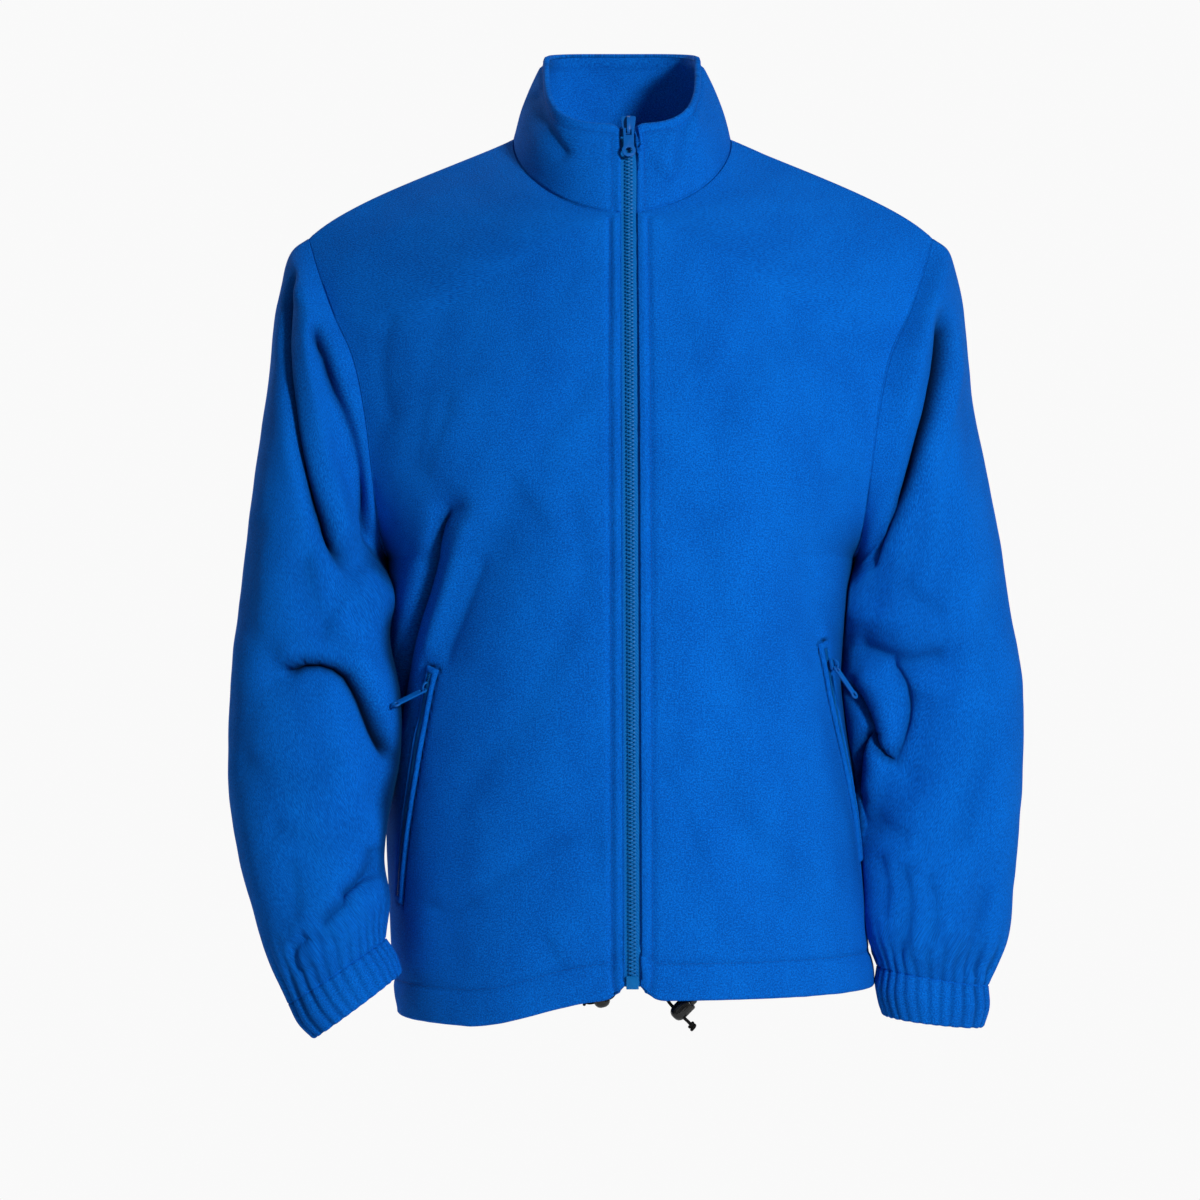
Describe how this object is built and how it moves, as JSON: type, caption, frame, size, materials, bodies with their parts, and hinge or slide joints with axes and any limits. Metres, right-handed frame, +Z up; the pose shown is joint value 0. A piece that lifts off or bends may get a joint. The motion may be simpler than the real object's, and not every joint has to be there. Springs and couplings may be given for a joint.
{
  "type": "winter jacket",
  "caption": "Blue polar-fleece winter jacket, filled out as when worn: stand collar, full front zip, set-in sleeves with gathered cuffs, slanted zip pockets and a drawcord hem.",
  "frame": {"origin": "middle of the neck opening, level with the side neck points, where the wearer's neck and shoulders carry the jacket", "axes": "+Z up, towards the collar; -Y the front with the zip; +X the wearer's left"},
  "size_m": [0.6319, 0.2771, 0.7898],
  "materials": {
    "fleece": "matt brushed polar fleece",
    "zip_tape": "woven polyester tape, satin",
    "zip_teeth": "nylon coil and moulded box, slightly glossy",
    "zip_metal": "enamelled zinc, satin",
    "lock_plastic": "black acetal, satin",
    "cord": "round elastic cord with a braided cover"
  },
  "bodies": {
    "jacket": {"front_left": "fleece", "front_right": "fleece", "back": "fleece", "sleeve_left": "fleece", "sleeve_right": "fleece", "cuff_left": "fleece", "cuff_right": "fleece", "collar": "fleece", "zip_tape_left": "zip_tape", "zip_tape_right": "zip_tape", "zip_chain": "zip_teeth", "zip_box": "zip_teeth", "zip_slider": "zip_metal", "pocket_left_welt": "fleece", "pocket_left_zip": "zip_tape", "pocket_left_slider": "zip_metal", "pocket_right_welt": "fleece", "pocket_right_zip": "zip_tape", "pocket_right_slider": "zip_metal", "cord_lock_left": "lock_plastic", "cord_lock_right": "lock_plastic", "drawcord_left": "cord", "drawcord_right": "cord"},
    "front_pull": {"zip_pull": "zip_metal"},
    "left_pocket_pull": {"pocket_left_pull": "zip_metal"},
    "right_pocket_pull": {"pocket_right_pull": "zip_metal"},
    "left_lock_button": {"cord_lock_left_button": "lock_plastic"},
    "right_lock_button": {"cord_lock_right_button": "lock_plastic"}
  },
  "joints": [
    {"name": "front_pull_swing", "type": "hinge", "parent": "jacket", "child": "front_pull", "pos_m": [0.00859, -0.08224, -0.00215], "axis": [-1, -0.0031, -0.0087], "range_deg": [0, 125]},
    {"name": "left_pocket_pull_swing", "type": "hinge", "parent": "jacket", "child": "left_pocket_pull", "pos_m": [0.17019, -0.06442, -0.42017], "axis": [-0.4499, -0.8488, -0.2776], "range_deg": [-25, 60]},
    {"name": "right_pocket_pull_swing", "type": "hinge", "parent": "jacket", "child": "right_pocket_pull", "pos_m": [-0.14906, -0.09097, -0.43733], "axis": [-0.5487, 0.7819, 0.2958], "range_deg": [-55, 40]},
    {"name": "left_lock_press", "type": "slide", "parent": "jacket", "child": "left_lock_button", "axis": [-0.7021, 0, -0.7121], "range_m": [0, 0.0035], "stiffness_N_per_m": 300, "springref_m": -0.003},
    {"name": "right_lock_press", "type": "slide", "parent": "jacket", "child": "right_lock_button", "axis": [0.2496, 0, -0.9684], "range_m": [0, 0.0035], "stiffness_N_per_m": 300, "springref_m": -0.003}
  ]
}
